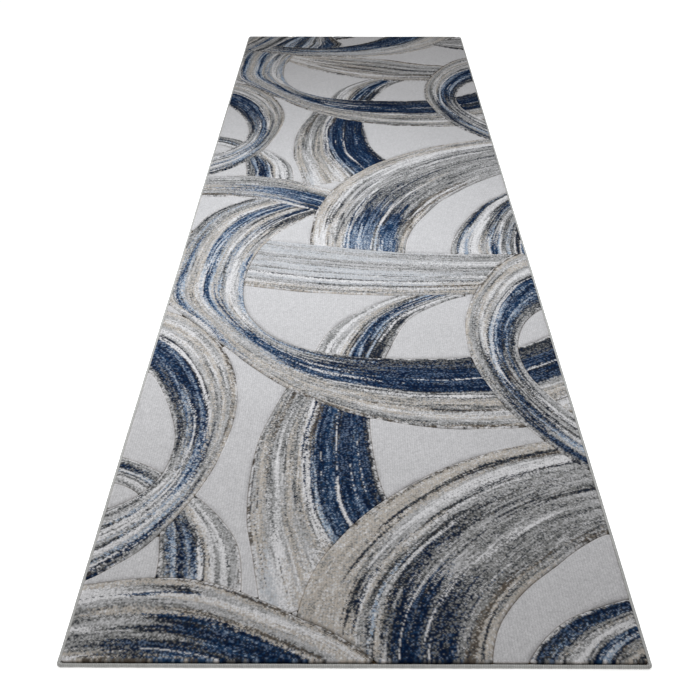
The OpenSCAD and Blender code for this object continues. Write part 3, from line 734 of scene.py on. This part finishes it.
def floor_faces(loops, points):
    """Triangles that fill closed loops of points, facing down."""
    flat = [[Vector((*points[k, :2], 0)) for k in loop] for loop in loops]
    faces = np.concatenate(loops)[np.array(tessellate_polygon(flat))]
    p = points[faces][:, :, :2]
    up = np.cross(p[:, 1] - p[:, 0], p[:, 2] - p[:, 0]) > 0
    faces[up] = faces[up][:, ::-1]
    return faces


def pile_piece(name, node, loops, seed, material, slot):
    """One island of pile: a domed tuft for each stitch, cut down to a groove along its outline."""
    grid = TuftGrid(loops)
    cut_down = groove_cut(grid, node)
    corners = pile_corners(grid, cut_down)
    tip = tuft_tips(grid, corners, cut_down)
    edges = edges_without_twin([grid.quads, grid.slivers])
    rim = np.unique(edges)
    lower = leaning_rim(corners, edges, rim, cut_down)
    foot = corners[rim].copy()
    foot[:, 2] = pile_base

    # One numbering: the used corners, the tips, the leaning rim and the foot
    used = np.unique(np.concatenate([grid.quads.ravel(), grid.slivers.ravel()]))
    points = np.concatenate([corners[used], tip, lower, foot])
    place = np.full(len(corners), -1)
    place[used] = np.arange(len(used))
    quads, slivers, edges = place[grid.quads], place[grid.slivers], place[edges]
    tips = len(used) + np.arange(len(tip))
    lower_number = np.full(len(used), -1)
    lower_number[place[rim]] = len(used) + len(tip) + np.arange(len(rim))
    foot_number = lower_number + len(rim)

    # Four sides for each tuft, a slope and a wall down the rim, and the floor on the woven base
    tuft_faces = [np.stack([quads[:, k], quads[:, (k + 1) % 4], tips], axis=1) for k in range(4)]
    a, b = edges.T
    slope = np.stack([b, a, lower_number[a], lower_number[b]], axis=1)
    wall = np.stack([lower_number[b], lower_number[a], foot_number[a], foot_number[b]], axis=1)
    base = floor_faces([foot_number[loop] for loop in closed_loops(edges)], points)
    faces = [*tuft_faces, slivers, slope, wall, base]

    # Down in the groove the pile is darker with painted shade, and the sides of the yarn show warmer than the
    # tips, darker still with painted shade, most at their feet
    tufts = pile_colours(node, grid.column[:-1, :-1], grid.row[:-1, :-1], seed)
    # Painted shade: the deeper the groove cuts the pile down, the darker its dips and tips
    shade = 1 - GROOVE_PAINTED_SHADE * cut_down / GROOVE_DEPTH
    dips = (dip_colours(grid, tufts) * shade[..., None]).reshape(-1, 3)
    tip_shade = shade.ravel()[grid.quads].mean(axis=1)
    colours = np.concatenate([
        dips[used],
        tufts[grid.whole] * tip_shade[:, None],
        dips[rim] * YARN_SIDE_TINT_AND_SHADE,
        dips[rim] * YARN_SIDE_TINT_AND_SHADE * FOOT_PAINTED_SHADE,
    ])
    make_piece(name, node, points, faces, colours, material, slot)


def edge_runs():
    """The overcast edge, counter-clockwise from the near left: side, middles, outward ways, start, length."""
    sx, sy = edge["straight_x"], edge["straight_y"]
    turns = [
        ("near", (-sx, -edge["y"]), (sx, -edge["y"]), (0, -1), (sx, -sy), -90),
        ("right", (edge["x"], -sy), (edge["x"], sy), (1, 0), (sx, sy), 0),
        ("far", (sx, edge["y"]), (-sx, edge["y"]), (0, 1), (-sx, sy), 90),
        ("left", (-edge["x"], sy), (-edge["x"], -sy), (-1, 0), (-sx, -sy), 180),
    ]
    start = 0.0
    for side, a, b, out, pivot, angle in turns:
        length = math.dist(a, b)
        steps = round(length / WRAP_PITCH * WRAP_STEPS)
        share = np.linspace(0, 1, steps + 1)[:, None]
        middles = np.array(a) * (1 - share) + np.array(b) * share
        yield side, middles, np.tile(out, (steps + 1, 1)), start, length
        start += length
        turn = np.radians(angle + np.linspace(0, 90, CORNER_STEPS + 1))
        out = np.stack([np.cos(turn), np.sin(turn)], axis=1)
        arc = math.pi / 2 * edge["corner_radius"]
        yield "corners", np.array(pivot) + edge["corner_radius"] * out, out, start, arc
        start += arc


def wandering(middles, out, walked):
    """The middle of the edge along one run, where it strays sideways, for the yarn and the cord alike."""
    slow = noise(walked / 0.21, walked * 0, 31) * 0.7 + noise(walked / 0.06, walked * 0, 32) * 0.3
    fade = ease((walked - walked[0]) / EDGE_FADE) * ease((walked[-1] - walked) / EDGE_FADE)
    return middles + out * (EDGE_WOBBLE * (2 * slow - 1) * fade)[:, None]


def tube_rings(middles, out, radius, centre_z):
    """Points of a tube whose rings each have their own radii."""
    sides = radius.shape[1]
    turn = np.arange(sides) * 2 * math.pi / sides
    flat = middles[:, None] + out[:, None] * (radius * np.cos(turn))[..., None]
    height = centre_z + radius * np.sin(turn)
    return np.concatenate([flat, height[..., None]], axis=-1)


def tube_faces(rings, sides, first=0):
    """Faces between the rings of a tube, facing out for rings that go round with the path behind them."""
    k = first + np.arange(rings * sides).reshape(rings, sides)
    step = np.roll(k, -1, axis=1)
    return np.stack([k[:-1], step[:-1], step[1:], k[1:]], axis=-1).reshape(-1, 4)


def joined(parts):
    """Points, faces and colours of several closed shapes as one."""
    count = 0
    points, faces, colours = [], defaultdict(list), []
    for part_points, part_faces, part_colours in parts:
        points.append(part_points)
        colours.append(part_colours)
        for f in part_faces:
            faces[f.shape[1]].append(f + count)
        count += len(part_points)
    return np.concatenate(points), [np.concatenate(f) for f in faces.values()], np.concatenate(colours)


def bored_tube_faces(rings, bore_rings):
    """Faces of a tube with a bore: the outside, the bore and the two ends. The bore's points come last."""
    first = np.arange(EDGE_SIDES)
    after = np.roll(first, -1)
    bore, end = rings * EDGE_SIDES, (rings - 1) * EDGE_SIDES
    bore_end = bore + (bore_rings - 1) * EDGE_SIDES
    return [
        tube_faces(rings, EDGE_SIDES),
        tube_faces(bore_rings, EDGE_SIDES, bore)[:, ::-1],
        np.stack([after, first, bore + first, bore + after], axis=1),
        np.stack([end + first, end + after, bore_end + after, bore_end + first], axis=1),
    ]


def overcast_run(middles, out, start, length):
    """One run of the wound yarn round the cord: ridged outside, plain inside, closed at its ends."""
    rings = len(middles)
    walked = start + np.linspace(0, length, rings)
    middles = wandering(middles, out, walked)
    turn = np.arange(EDGE_SIDES) / EDGE_SIDES
    phase = walked[:, None] / WRAP_PITCH - turn[None, :]
    ridge = np.abs(np.cos(math.pi * phase))
    wrap = np.floor(phase + 0.5)
    uneven = WRAP_UNEVEN * chance(wrap, wrap * 0, 33)
    lump = WRAP_LUMPS * noise(walked / 0.03, walked * 0, 34)[:, None]
    radius = edge["radius"] - WRAP_RIDGE * (1 - ridge) - uneven - lump
    outer = tube_rings(middles, out, radius, edge["radius"]).reshape(-1, 3)
    bore_at = np.unique(np.r_[np.arange(0, rings, BORE_STEP), rings - 1])
    bore_radius = np.full((len(bore_at), EDGE_SIDES), edge["bore"])
    bore = tube_rings(middles[bore_at], out[bore_at], bore_radius, edge["radius"]).reshape(-1, 3)
    # Painted shade in the hollows between the turns, with a random tone for each turn, and flat painted shade
    # over the bore inside
    shade = (0.62 + 0.38 * ridge) * (0.93 + 0.14 * chance(wrap, wrap * 0, 35))
    shade = np.r_[shade.ravel(), np.full(len(bore), 0.5)]
    colours = linear(EDGE_COLOUR) * shade[:, None]
    return np.concatenate([outer, bore]), bored_tube_faces(rings, len(bore_at)), colours


def cord_run(middles, out, start, length):
    """One run of the filler cord: three strands twisted together."""
    at = np.unique(np.r_[np.arange(0, len(middles), CORD_STEP), len(middles) - 1])
    walked = start + np.linspace(0, length, len(middles))[at]
    middles = wandering(middles[at], out[at], walked)
    turn = np.arange(EDGE_SIDES) / EDGE_SIDES
    lobes = np.abs(np.cos(CORD_STRANDS * math.pi * (turn[None, :] - walked[:, None] / CORD_TWIST)))
    rings = tube_rings(middles, out[at], edge["cord"] * (0.84 + 0.16 * lobes), edge["radius"])
    caps = np.stack([np.arange(EDGE_SIDES)[::-1], (len(at) - 1) * EDGE_SIDES + np.arange(EDGE_SIDES)])
    # Painted shade in the hollows between the twisted strands
    shade = (0.6 + 0.4 * lobes).reshape(-1, 1)
    return rings.reshape(-1, 3), [tube_faces(len(at), EDGE_SIDES), caps], linear(CORD_COLOUR) * shade


def edge_pieces():
    """The overcast yarn and the cord in it, a piece for each side and one for the corners."""
    kinds = [
        ("overcast", "binding", overcast_run, overcast_yarn(), "overcast_yarn"),
        ("filler_cord", "edge_cord", cord_run, filler_cord(), "filler_cord"),
    ]
    pieces = []
    for kind, cad_kind, shape_of, material, slot in kinds:
        parts = defaultdict(list)
        for side, *run in edge_runs():
            parts[side].append(shape_of(*run))
        for side, shapes in parts.items():
            node = f"{cad_kind}_{side}"
            pieces.append(make_piece(f"{kind}_{side}", node, *joined(shapes), material, slot))
    return pieces


def strands(low, high, along_x, pitch, width, colour, seed):
    """A layer of parallel yarns that fills a box: closed six-sided strands with a slight sway."""
    axis, other = (0, 1) if along_x else (1, 0)
    count = int((high[other] - low[other] - width) / pitch) + 1
    middle = (np.arange(count) - (count - 1) / 2) * pitch + (low[other] + high[other]) / 2
    stations = np.linspace(low[axis], high[axis], STRAND_STEPS + 1)
    turn = np.arange(STRAND_SIDES) * 2 * math.pi / STRAND_SIDES
    half_width, half_height = width / 2, (high[2] - low[2]) / 2
    row, station = np.meshgrid(np.arange(count), np.arange(len(stations)), indexing="ij")
    thin = 0.90 + 0.10 * chance(row, station, seed)
    sway = (pitch - width) * 0.8 * (chance(row, station, seed + 1) - 0.5)
    points = np.zeros((count, len(stations), STRAND_SIDES, 3))
    points[..., axis] = stations[None, :, None]
    points[..., other] = (middle[:, None] + sway)[..., None] + half_width * thin[..., None] * np.cos(turn)
    points[..., 2] = (low[2] + high[2]) / 2 + half_height * thin[..., None] * np.sin(turn)
    side = tube_faces(len(stations), STRAND_SIDES)
    near_cap = np.arange(STRAND_SIDES)[::-1]
    caps = np.stack([near_cap, STRAND_STEPS * STRAND_SIDES + near_cap[::-1]])
    if along_x:
        side, caps = side[:, ::-1], caps[:, ::-1]
    shift = (np.arange(count) * len(stations) * STRAND_SIDES)[:, None, None]
    faces = [(side + shift).reshape(-1, 4), (caps + shift).reshape(-1, STRAND_SIDES)]
    shade = 0.80 + 0.35 * chance(row, row * 0, seed + 2)
    colours = linear(colour) * np.repeat(shade.ravel(), STRAND_SIDES)[:, None]
    return points.reshape(-1, 3), faces, colours


def sized_back(low, high):
    """The dried size on the back: a thin closed skin, ribbed where it follows the wefts."""
    rows = int((high.y - low.y) / WEFT_PITCH * RIB_STEPS)
    x = np.linspace(low.x, high.x, BACK_COLUMNS + 1)
    y = np.linspace(low.y, high.y, rows + 1)
    i, j = np.meshgrid(np.arange(BACK_COLUMNS + 1), np.arange(rows + 1))
    rib = np.abs(np.sin(math.pi * (y[j] + RIB_WAVE * noise(i, j / 90, 41)) / WEFT_PITCH))
    yarn = chance(np.floor(y[j] / WEFT_PITCH), i // 3, 42)
    under = low.z + RIB_HEIGHT * (1 - rib * (0.65 + 0.35 * yarn))
    below = np.stack([x[i], y[j], under], axis=-1).reshape(-1, 3)
    above = below.copy()
    above[:, 2] = high.z
    k = np.arange(len(below)).reshape(i.shape)
    upward = np.stack(four_corners(k), axis=-1).reshape(-1, 4)
    count = len(below)
    ring = np.concatenate([k[0, :-1], k[:-1, -1], k[-1, :0:-1], k[:0:-1, 0]])
    after = np.roll(ring, -1)
    sides = np.stack([ring, after, after + count, ring + count], axis=1)
    # Painted shade between the ribs, with a random tone for each weft yarn
    shade = (0.72 + 0.28 * rib) * (0.85 + 0.3 * yarn)
    colours = (linear(BACK_COLOUR) * shade[..., None]).reshape(-1, 3)
    return np.concatenate([below, above]), [upward[:, ::-1], upward + count, sides], np.tile(colours, (2, 1))


def base_pieces():
    """The woven base: its sized back, two layers of jute weft and the stuffer warp between them."""
    skin = sized_back(*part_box("back_size"))
    pieces = [make_piece("sized_back", "back_size", *skin, back_size(), "back_size")]
    jute = jute_weft()
    for node, seed in (("lower_weft", 51), ("upper_weft", 61)):
        yarns = strands(*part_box(node), True, WEFT_PITCH, WEFT_WIDTH, WEFT_COLOUR, seed)
        pieces.append(make_piece(f"{node}_yarns", node, *yarns, jute, "jute_weft"))
    low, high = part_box("stuffer_warp")
    inner_low, inner_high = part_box("upper_weft")
    low = Vector((inner_low.x, inner_low.y, low.z))
    high = Vector((inner_high.x, inner_high.y, high.z))
    tapes = strands(low, high, False, STUFFER_PITCH, STUFFER_WIDTH, WARP_COLOUR, 71)
    pieces.append(make_piece("stuffer_warp_yarns", "stuffer_warp", *tapes, warp_yarn(), "warp_yarn"))
    return pieces


# ---- Materials --------------------------------------------------------------------------

EDGE_COLOUR = (176, 176, 174)
CORD_COLOUR = (205, 202, 196)
WEFT_COLOUR = (150, 122, 86)
WARP_COLOUR = (190, 178, 156)
BACK_COLOUR = (166, 139, 102)


class Nodes:
    """Short ways to add nodes to a new material."""

    def __init__(self, name, roughness, sheen, specular):
        self.material = bpy.data.materials.new(name)
        self.material.use_nodes = True
        self.tree = self.material.node_tree
        self.shader = self.tree.nodes["Principled BSDF"]
        self.shader.inputs["Roughness"].default_value = roughness
        self.shader.inputs["Sheen Weight"].default_value = sheen
        self.shader.inputs["Sheen Roughness"].default_value = 0.45
        self.shader.inputs["Specular IOR Level"].default_value = specular

    def add(self, kind, **values):
        """A node with some of its properties or inputs set."""
        node = self.tree.nodes.new(kind)
        for key, value in values.items():
            if key in node.inputs:
                node.inputs[key].default_value = value
            else:
                setattr(node, key, value)
        return node

    def link(self, a, b):
        self.tree.links.new(a, b)

    def stretched(self, scale):
        """Object coordinates, stretched by a scale for each axis."""
        place = self.add("ShaderNodeTexCoord")
        mapping = self.add("ShaderNodeMapping")
        mapping.inputs["Scale"].default_value = scale
        self.link(place.outputs["Object"], mapping.inputs["Vector"])
        return mapping.outputs["Vector"]

    def noise(self, scale, detail=2.0):
        """Noise from 0 to 1 whose lumps are 1 / scale long on each axis."""
        texture = self.add("ShaderNodeTexNoise", Scale=1.0, Detail=detail, Roughness=0.6)
        self.link(self.stretched(scale), texture.inputs["Vector"])
        return texture.outputs["Fac"]

    def ranged(self, value, low, high):
        """A value from 0 to 1 brought to the range from low to high."""
        node = self.add("ShaderNodeMapRange")
        node.inputs["From Min"].default_value = 0.25
        node.inputs["From Max"].default_value = 0.75
        node.inputs["To Min"].default_value = low
        node.inputs["To Max"].default_value = high
        self.link(value, node.inputs["Value"])
        return node.outputs["Result"]

    def sum_or_product(self, operation, a, b):
        node = self.add("ShaderNodeMath", operation=operation)
        self.link(a, node.inputs[0])
        self.link(b, node.inputs[1])
        return node.outputs["Value"]

    def times(self, a, b):
        return self.sum_or_product("MULTIPLY", a, b)

    def plus(self, a, b):
        return self.sum_or_product("ADD", a, b)

    def yarn_colour(self, shade):
        """The yarn's own colour, from the mesh, lightened and darkened by shade."""
        yarn = self.add("ShaderNodeAttribute", attribute_type="GEOMETRY", attribute_name="yarn")
        scale = self.add("ShaderNodeVectorMath", operation="SCALE")
        self.link(yarn.outputs["Color"], scale.inputs[0])
        self.link(shade, scale.inputs["Scale"])
        self.link(scale.outputs["Vector"], self.shader.inputs["Base Color"])

    def rough(self, value):
        self.link(value, self.shader.inputs["Roughness"])

    def bump(self, height, distance):
        node = self.add("ShaderNodeBump", Strength=0.6, Distance=distance)
        self.link(height, node.inputs["Height"])
        self.link(node.outputs["Normal"], self.shader.inputs["Normal"])


def pile_material(name, sheen, specular):
    """Cut pile: soft fibre ends, with a slight sheen and a fine grain inside each tuft."""
    m = Nodes(name, 0.85, sheen, specular)
    fibres = m.noise((1900, 1900, 500))
    clumps = m.noise((950, 950, 100))
    m.yarn_colour(m.times(m.ranged(fibres, 0.82, 1.16), m.ranged(clumps, 0.72, 1.28)))
    m.rough(m.ranged(fibres, 0.66, 0.92))
    m.bump(m.plus(fibres, clumps), 0.5 * MM)
    return m.material


def overcast_yarn():
    """Wound polyester yarn: fibres run round the edge, across its length."""
    m = Nodes("overcast_yarn", 0.7, 0.15, 0.3)
    fibres = m.noise((900, 900, 900), 3.0)
    fuzz = m.noise((160, 160, 160))
    m.yarn_colour(m.times(m.ranged(fibres, 0.86, 1.12), m.ranged(fuzz, 0.94, 1.05)))
    m.rough(m.ranged(fibres, 0.55, 0.85))
    m.bump(fibres, 0.25 * MM)
    return m.material


def plain_yarn(name, sheen, scale):
    """Pale spun yarn of fine fibres."""
    m = Nodes(name, 0.85, sheen, 0.2)
    fibres = m.noise(scale, 3.0)
    m.yarn_colour(m.ranged(fibres, 0.8, 1.15))
    m.rough(m.ranged(fibres, 0.75, 0.95))
    m.bump(fibres, 0.2 * MM)
    return m.material


def filler_cord():
    """Twisted cord of waste fibre."""
    return plain_yarn("filler_cord", 0.1, (1200, 1200, 1200))


def warp_yarn():
    """Plied warp: its fibres lie along the rug."""
    return plain_yarn("warp_yarn", 0.08, (2400, 120, 2400))


def jute_weft():
    """Coarse jute: long fibres across the rug, with dark flecks of bark."""
    m = Nodes("jute_weft", 0.9, 0.05, 0.15)
    fibres = m.noise((90, 2200, 2200), 4.0)
    flecks = m.noise((260, 900, 900))
    m.yarn_colour(m.times(m.ranged(fibres, 0.72, 1.2), m.ranged(flecks, 0.8, 1.08)))
    m.rough(m.ranged(fibres, 0.8, 0.97))
    m.bump(fibres, 0.3 * MM)
    return m.material


def back_size():
    """Sized back: jute fibres under a thin, slightly glossy film, crossed by pale chain warps."""
    m = Nodes("back_size", 0.7, 0.0, 0.35)
    fibres = m.noise((70, 2000, 2000), 4.0)
    patches = m.noise((9, 9, 9), 3.0)
    warps = m.add("ShaderNodeTexWave", wave_type="BANDS", bands_direction="X", Scale=1.0, Distortion=0.0)
    m.link(m.stretched((2 * math.pi / WARP_PITCH / 20, 1, 1)), warps.inputs["Vector"])
    crossing = m.ranged(warps.outputs["Fac"], 0.84, 1.18)
    m.yarn_colour(m.times(m.times(m.ranged(fibres, 0.78, 1.16), m.ranged(patches, 0.88, 1.08)), crossing))
    m.rough(m.ranged(patches, 0.45, 0.85))
    m.bump(m.plus(fibres, warps.outputs["Fac"]), 0.35 * MM)
    return m.material


def floor_material():
    """Pale floor that glows a little, so that it stays white beside the rug."""
    m = Nodes("studio_floor", 0.9, 0.0, 0.1)
    m.shader.inputs["Base Color"].default_value = (0.86, 0.86, 0.86, 1)
    m.shader.inputs["Emission Color"].default_value = (1, 1, 1, 1)
    m.shader.inputs["Emission Strength"].default_value = 0.65
    return m.material


# ---- Stage, lights and camera -----------------------------------------------------------


def add_floor():
    """A large plain floor just under the rug."""
    size = 14.0
    mesh = bpy.data.meshes.new("studio_floor")
    corners = [(-size, -size, 0), (size, -size, 0), (size, size, 0), (-size, size, 0)]
    mesh.from_pydata(corners, [], [(0, 1, 2, 3)])
    mesh.materials.append(floor_material())
    floor = bpy.data.objects.new("studio_floor", mesh)
    floor.location.z = cad_low.z - 0.05 * MM
    bpy.context.scene.collection.objects.link(floor)


def add_area_light(name, place, aim, power, colour):
    """A square soft light that points at aim."""
    light = bpy.data.lights.new(name, "AREA")
    light.size = 0.9
    light.energy = power
    light.color = colour
    lamp = bpy.data.objects.new(name, light)
    lamp.location = place
    lamp.visible_camera = False
    lamp.rotation_euler = (Vector(aim) - Vector(place)).to_track_quat("-Z", "Y").to_euler()
    bpy.context.scene.collection.objects.link(lamp)


def add_lights():
    """Plain soft studio light: a large key over the rug's middle, two weaker fills and a pale room."""
    world = bpy.data.worlds.new("studio")
    world.use_nodes = True
    world.node_tree.nodes["Background"].inputs["Color"].default_value = (1.0, 0.99, 0.98, 1)
    world.node_tree.nodes["Background"].inputs["Strength"].default_value = 0.40
    bpy.context.scene.world = world
    cool, warm = (0.95, 0.98, 1.0), (1.0, 0.99, 0.97)
    add_area_light("key", (-0.2, -0.16, 1.3), aim=(0, -0.16, 0), power=21, colour=cool)
    add_area_light("near_fill", (-0.35, -1.0, 1.4), aim=(-0.35, -1.0, 0), power=7, colour=warm)
    add_area_light("far_fill", (-0.1, 1.55, 1.4), aim=(-0.1, 1.55, 0), power=3.2, colour=warm)


def add_camera():
    """Camera low before the near edge, looking down along the rug."""
    camera = bpy.data.cameras.new("camera")
    camera.lens = 53.68
    camera.sensor_width = 36
    view = bpy.data.objects.new("camera", camera)
    view.location = (-0.0015, cad_low.y - 0.953, 1.109)
    view.rotation_euler = (math.radians(90 - 32.29), 0, math.radians(0.237))
    bpy.context.scene.collection.objects.link(view)
    bpy.context.scene.camera = view


# ---- The rug ----------------------------------------------------------------------------


def read_edge():
    """The overcast edge's sizes, from the CAD: its straight lengths, line and radii."""
    low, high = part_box("binding_right")
    cord_low, cord_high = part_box("edge_cord_right")
    radius = (high.z - low.z) / 2
    straight_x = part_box("binding_near")[1].x
    return {
        "radius": radius,
        "x": high.x - radius,
        "y": cad_high.y - radius,
        "straight_x": straight_x,
        "straight_y": high.y,
        "corner_radius": high.x - radius - straight_x,
        "cord": (cord_high.z - cord_low.z) / 2,
        "bore": (cord_high.z - cord_low.z) / 2 + 0.1 * MM,
    }


def pile_pieces():
    """All the pile: each CAD sweep as one piece, and each island of the ground as its own."""
    ground_material = pile_material("ground_pile", 0.08, 0.04)
    sweep_material = pile_material("sweep_pile", 0.01, 0.0)
    for number, island in enumerate(top_islands("ground_pile"), 1):
        pile_piece(f"ground_pile_{number:02d}", "ground_pile", island, 1, ground_material, "ground_pile")
    sweeps = sorted(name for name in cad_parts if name.startswith("pile_"))
    for number, node in enumerate(sweeps, 1):
        for part, island in enumerate(top_islands(node), 1):
            name = node.removeprefix("pile_") + ("" if part == 1 else f"_{part}")
            pile_piece(name, node, island, 100 * number, sweep_material, "sweep_pile")


edge = read_edge()
pile_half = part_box("ground_pile")[1]
pile_base, pile_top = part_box("ground_pile")[0].z, pile_half.z

add_camera()
add_lights()
add_floor()
pile_pieces()
woven = base_pieces()
edges = edge_pieces()

woven[0]
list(woven[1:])
bpy.context.scene.view_settings.view_transform = "Standard"
